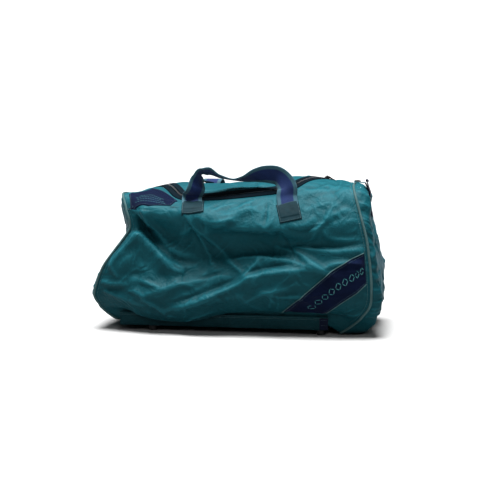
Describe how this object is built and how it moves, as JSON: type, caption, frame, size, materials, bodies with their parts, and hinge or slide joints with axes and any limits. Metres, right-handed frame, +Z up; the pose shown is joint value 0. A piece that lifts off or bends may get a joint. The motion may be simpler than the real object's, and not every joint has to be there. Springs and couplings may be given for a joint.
{
  "type": "sports duffel bag",
  "caption": "Soft teal nylon duffel bag with a zipped top, navy webbing handles, piped end seams and a base strip on stub feet",
  "frame": {"origin": "centre of the overall bounding box in X and Y, on the ground plane the feet stand on", "axes": "+X along the bag's length toward the end with the ring lying on top, +Y from the front face to the back face, +Z up; the front face looks along -Y"},
  "size_m": [0.5842, 0.2818, 0.3335],
  "materials": {
    "teal_nylon": "coated plain-weave nylon, soft sheen, crumpled",
    "navy_webbing": "ribbed woven webbing",
    "zip_tape": "woven zip tape",
    "zip_coil": "moulded coil teeth",
    "grey_leatherette": "matte coated leatherette with stitched edges",
    "grey_piping": "smooth covered cord",
    "navy_patch": "close woven patch with stitched rows",
    "black_plastic": "satin moulded plastic",
    "chromed_steel": "bright plated wire"
  },
  "bodies": {
    "bag": {"front_panel": "teal_nylon", "back_panel": "teal_nylon", "lid_panel": "teal_nylon", "bottom_panel": "teal_nylon", "end_panel_left": "teal_nylon", "end_panel_right": "teal_nylon", "piping_left": "grey_piping", "piping_right": "grey_piping", "zip_tape_body": "zip_tape", "zip_tape_lid": "zip_tape", "zip_coil": "zip_coil", "zip_slider": "black_plastic", "base_channel": "teal_nylon", "base_tab": "navy_webbing", "handle_front": "navy_webbing", "handle_back": "navy_webbing", "handle_patch_front_left": "grey_leatherette", "handle_patch_front_right": "grey_leatherette", "handle_patch_back_left": "grey_leatherette", "handle_patch_back_right": "grey_leatherette", "corner_badge": "navy_patch", "corner_band": "navy_patch", "foot_front_left": "black_plastic", "foot_front_right": "black_plastic", "foot_back_left": "black_plastic", "foot_back_right": "black_plastic", "foot_left_end": "black_plastic", "ring_tab_right": "navy_webbing", "ring_tab_left": "navy_webbing"},
    "ring_right": {"d_ring_right": "chromed_steel"},
    "ring_left": {"d_ring_left": "chromed_steel"}
  },
  "joints": [
    {"name": "ring_right_turn", "type": "hinge", "parent": "bag", "child": "ring_right", "pos_m": [0.2539, -0.0039, 0.2994], "axis": [0, 1, 0], "range_deg": [0, 235]},
    {"name": "ring_left_turn", "type": "hinge", "parent": "bag", "child": "ring_left", "pos_m": [-0.2445, 0.0321, 0.2562], "axis": [0, 1, 0], "range_deg": [0, 170]}
  ]
}
